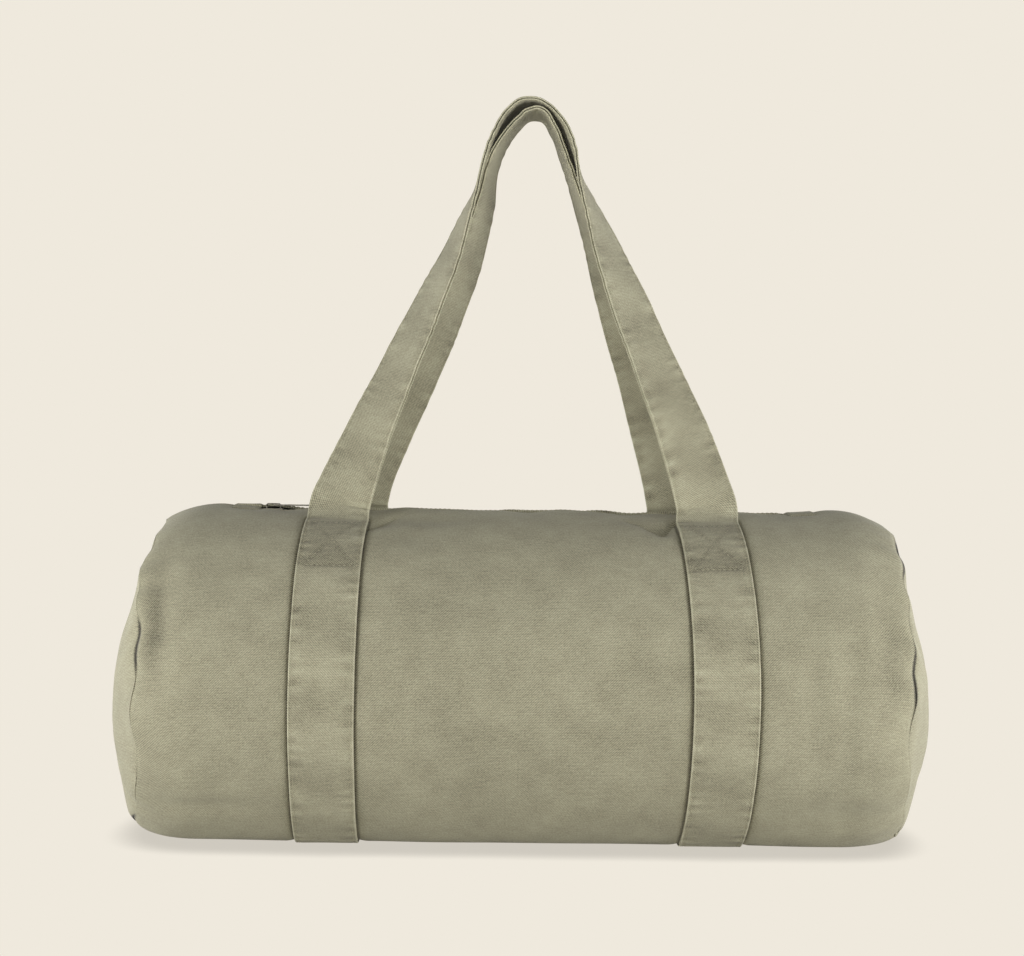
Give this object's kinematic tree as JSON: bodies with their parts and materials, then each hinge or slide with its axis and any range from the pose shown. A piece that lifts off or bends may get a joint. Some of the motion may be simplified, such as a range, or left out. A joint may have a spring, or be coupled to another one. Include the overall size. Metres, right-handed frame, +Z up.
{
  "type": "barrel bag",
  "caption": "Soft barrel-shaped carry bag of washed cotton twill, zipped along the top, with stitched strap handles that fold to the sides and straps that run under its base.",
  "frame": {"origin": "under the middle of the base, on the surface the bag stands on", "axes": "+X along the barrel to the right of the picture, -Y the front that faces the camera, +Z up"},
  "size_m": [0.584, 0.255, 0.5416],
  "materials": {
    "washed_twill": "garment-washed twill, matt",
    "strap_twill": "folded twill strap, stitched edges",
    "zip_tape": "woven zip tape",
    "zip_coil": "nylon coil",
    "zip_metal": "dark plated",
    "seam_binding": "cotton binding tape"
  },
  "bodies": {
    "barrel": {"body_panel": "washed_twill", "end_panel_left": "washed_twill", "end_panel_right": "washed_twill", "seam_binding_left": "seam_binding", "seam_binding_right": "seam_binding", "strap_run_front_left": "strap_twill", "strap_run_front_right": "strap_twill", "strap_run_rear_left": "strap_twill", "strap_run_rear_right": "strap_twill", "zip_end_tab_left": "washed_twill", "zip_end_tab_right": "washed_twill", "zip_bottom_stop": "zip_metal"},
    "slider": {"zip_slider": "zip_metal"},
    "pull": {"zip_pull": "zip_metal"},
    "mouth_front": {"mouth_panel_front": "washed_twill", "zip_tape_front": "zip_tape", "zip_coil_front": "zip_coil", "zip_top_stop_front": "zip_metal", "strap_top_front_left": "strap_twill", "strap_top_front_right": "strap_twill"},
    "handle_front_lower": {"handle_front_leg_left": "strap_twill", "handle_front_leg_right": "strap_twill"},
    "handle_front_upper": {"handle_front_loop": "strap_twill"},
    "mouth_rear": {"mouth_panel_rear": "washed_twill", "zip_tape_rear": "zip_tape", "zip_coil_rear": "zip_coil", "zip_top_stop_rear": "zip_metal", "strap_top_rear_left": "strap_twill", "strap_top_rear_right": "strap_twill"},
    "handle_rear_lower": {"handle_rear_leg_left": "strap_twill", "handle_rear_leg_right": "strap_twill"},
    "handle_rear_upper": {"handle_rear_loop": "strap_twill"}
  },
  "joints": [
    {"name": "zip_slide", "type": "slide", "parent": "barrel", "child": "slider", "axis": [1, 0, 0], "range_m": [0, 0.35]},
    {"name": "pull_swing", "type": "hinge", "parent": "slider", "child": "pull", "pos_m": [-0.1837, 0, 0.23944], "axis": [0, -1, 0], "range_deg": [0, 160]},
    {"name": "mouth_front_roll", "type": "hinge", "parent": "barrel", "child": "mouth_front", "pos_m": [0, 0, 0.11499], "axis": [1, 0, 0], "range_deg": [0, 20]},
    {"name": "handle_front_fold", "type": "hinge", "parent": "mouth_front", "child": "handle_front_lower", "pos_m": [0, -0.03231, 0.23559], "axis": [1, 0, 0], "range_deg": [0, 92]},
    {"name": "handle_front_drape", "type": "hinge", "parent": "handle_front_lower", "child": "handle_front_upper", "pos_m": [0, -0.0353, 0.33559], "axis": [1, 0, 0], "range_deg": [0, 36]},
    {"name": "mouth_rear_roll", "type": "hinge", "parent": "barrel", "child": "mouth_rear", "pos_m": [0, 0, 0.11499], "axis": [-1, 0, 0], "range_deg": [0, 20]},
    {"name": "handle_rear_fold", "type": "hinge", "parent": "mouth_rear", "child": "handle_rear_lower", "pos_m": [0, 0.03231, 0.23559], "axis": [-1, 0, 0], "range_deg": [0, 92]},
    {"name": "handle_rear_drape", "type": "hinge", "parent": "handle_rear_lower", "child": "handle_rear_upper", "pos_m": [0, 0.0353, 0.33559], "axis": [-1, 0, 0], "range_deg": [0, 36]}
  ],
  "couplings": [
    {"joint": "mouth_front_roll", "follows": "zip_slide", "rad_per_m": 0.9972},
    {"joint": "handle_front_drape", "follows": "handle_front_fold", "ratio": 0.3912},
    {"joint": "mouth_rear_roll", "follows": "zip_slide", "rad_per_m": 0.9972},
    {"joint": "handle_rear_drape", "follows": "handle_rear_fold", "ratio": 0.3912}
  ]
}
